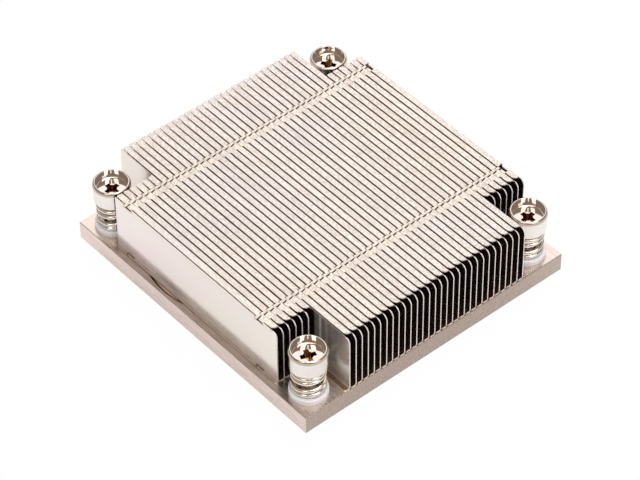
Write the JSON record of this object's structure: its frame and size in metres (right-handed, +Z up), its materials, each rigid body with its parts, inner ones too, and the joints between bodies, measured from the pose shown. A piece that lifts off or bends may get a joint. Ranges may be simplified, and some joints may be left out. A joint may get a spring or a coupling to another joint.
{
  "type": "server cpu heat sink",
  "caption": "Low rectangular processor heat sink: a stack of folded aluminium fins with notched corners on a thick base plate, held down by spring-loaded captive screws at the corners.",
  "frame": {"origin": "centre of the base plate's underside, the face that meets the processor", "axes": "+Z up out of the contact face, +X along the fins and the air flow, +Y across the stack of fins"},
  "size_m": [0.09, 0.0856, 0.0278],
  "materials": {
    "base_aluminium": "milled, fine grain, slightly darkened",
    "fin_aluminium": "rolled sheet, satin",
    "copper": "bare copper, dulled",
    "bright_nickel": "bright nickel plate on turned steel",
    "spring_steel": "plated spring wire",
    "clip_steel": "stamped spring steel, dark",
    "white_nylon": "moulded nylon, matt"
  },
  "bodies": {
    "root": {"base_plate": "base_aluminium", "heat_pipe": "copper", "fin_01": "fin_aluminium", "fin_02": "fin_aluminium", "fin_03": "fin_aluminium", "fin_04": "fin_aluminium", "fin_05": "fin_aluminium", "fin_06": "fin_aluminium", "fin_07": "fin_aluminium", "fin_08": "fin_aluminium", "fin_09": "fin_aluminium", "fin_10": "fin_aluminium", "fin_11": "fin_aluminium", "fin_12": "fin_aluminium", "fin_13": "fin_aluminium", "fin_14": "fin_aluminium", "fin_15": "fin_aluminium", "fin_16": "fin_aluminium", "fin_17": "fin_aluminium", "fin_18": "fin_aluminium", "fin_19": "fin_aluminium", "fin_20": "fin_aluminium", "fin_21": "fin_aluminium", "fin_22": "fin_aluminium", "fin_23": "fin_aluminium", "fin_24": "fin_aluminium", "fin_25": "fin_aluminium", "fin_26": "fin_aluminium", "fin_27": "fin_aluminium", "fin_28": "fin_aluminium", "fin_29": "fin_aluminium", "fin_30": "fin_aluminium", "fin_31": "fin_aluminium", "fin_32": "fin_aluminium", "fin_33": "fin_aluminium", "fin_34": "fin_aluminium", "fin_35": "fin_aluminium", "fin_36": "fin_aluminium", "fin_37": "fin_aluminium", "fin_38": "fin_aluminium", "fin_39": "fin_aluminium", "fin_40": "fin_aluminium", "fin_41": "fin_aluminium", "fin_42": "fin_aluminium", "washer_front_left": "white_nylon", "washer_front_right": "white_nylon", "washer_back_left": "white_nylon", "washer_back_right": "white_nylon"},
    "plunge_front_left": {"clip_front_left": "clip_steel", "spring_front_left": "spring_steel"},
    "screw_front_left": {"screw_front_left": "bright_nickel"},
    "plunge_front_right": {"clip_front_right": "clip_steel", "spring_front_right": "spring_steel"},
    "screw_front_right": {"screw_front_right": "bright_nickel"},
    "plunge_back_left": {"clip_back_left": "clip_steel", "spring_back_left": "spring_steel"},
    "screw_back_left": {"screw_back_left": "bright_nickel"},
    "plunge_back_right": {"clip_back_right": "clip_steel", "spring_back_right": "spring_steel"},
    "screw_back_right": {"screw_back_right": "bright_nickel"}
  },
  "joints": [
    {"name": "press_front_left", "type": "slide", "parent": "root", "child": "plunge_front_left", "axis": [0, 0, 1], "range_m": [-0.0022, 0], "stiffness_N_per_m": 6000, "springref_m": 0.002, "deforming": ["spring_front_left"]},
    {"name": "turn_front_left", "type": "hinge", "parent": "plunge_front_left", "child": "screw_front_left", "pos_m": [-0.0385, -0.03635, 0], "axis": [0, 0, 1], "continuous": true},
    {"name": "press_front_right", "type": "slide", "parent": "root", "child": "plunge_front_right", "axis": [0, 0, 1], "range_m": [-0.0022, 0], "stiffness_N_per_m": 6000, "springref_m": 0.002, "deforming": ["spring_front_right"]},
    {"name": "turn_front_right", "type": "hinge", "parent": "plunge_front_right", "child": "screw_front_right", "pos_m": [0.0385, -0.03635, 0], "axis": [0, 0, 1], "continuous": true},
    {"name": "press_back_left", "type": "slide", "parent": "root", "child": "plunge_back_left", "axis": [0, 0, 1], "range_m": [-0.0022, 0], "stiffness_N_per_m": 6000, "springref_m": 0.002, "deforming": ["spring_back_left"]},
    {"name": "turn_back_left", "type": "hinge", "parent": "plunge_back_left", "child": "screw_back_left", "pos_m": [-0.0385, 0.03635, 0], "axis": [0, 0, 1], "continuous": true},
    {"name": "press_back_right", "type": "slide", "parent": "root", "child": "plunge_back_right", "axis": [0, 0, 1], "range_m": [-0.0022, 0], "stiffness_N_per_m": 6000, "springref_m": 0.002, "deforming": ["spring_back_right"]},
    {"name": "turn_back_right", "type": "hinge", "parent": "plunge_back_right", "child": "screw_back_right", "pos_m": [0.0385, 0.03635, 0], "axis": [0, 0, 1], "continuous": true}
  ]
}
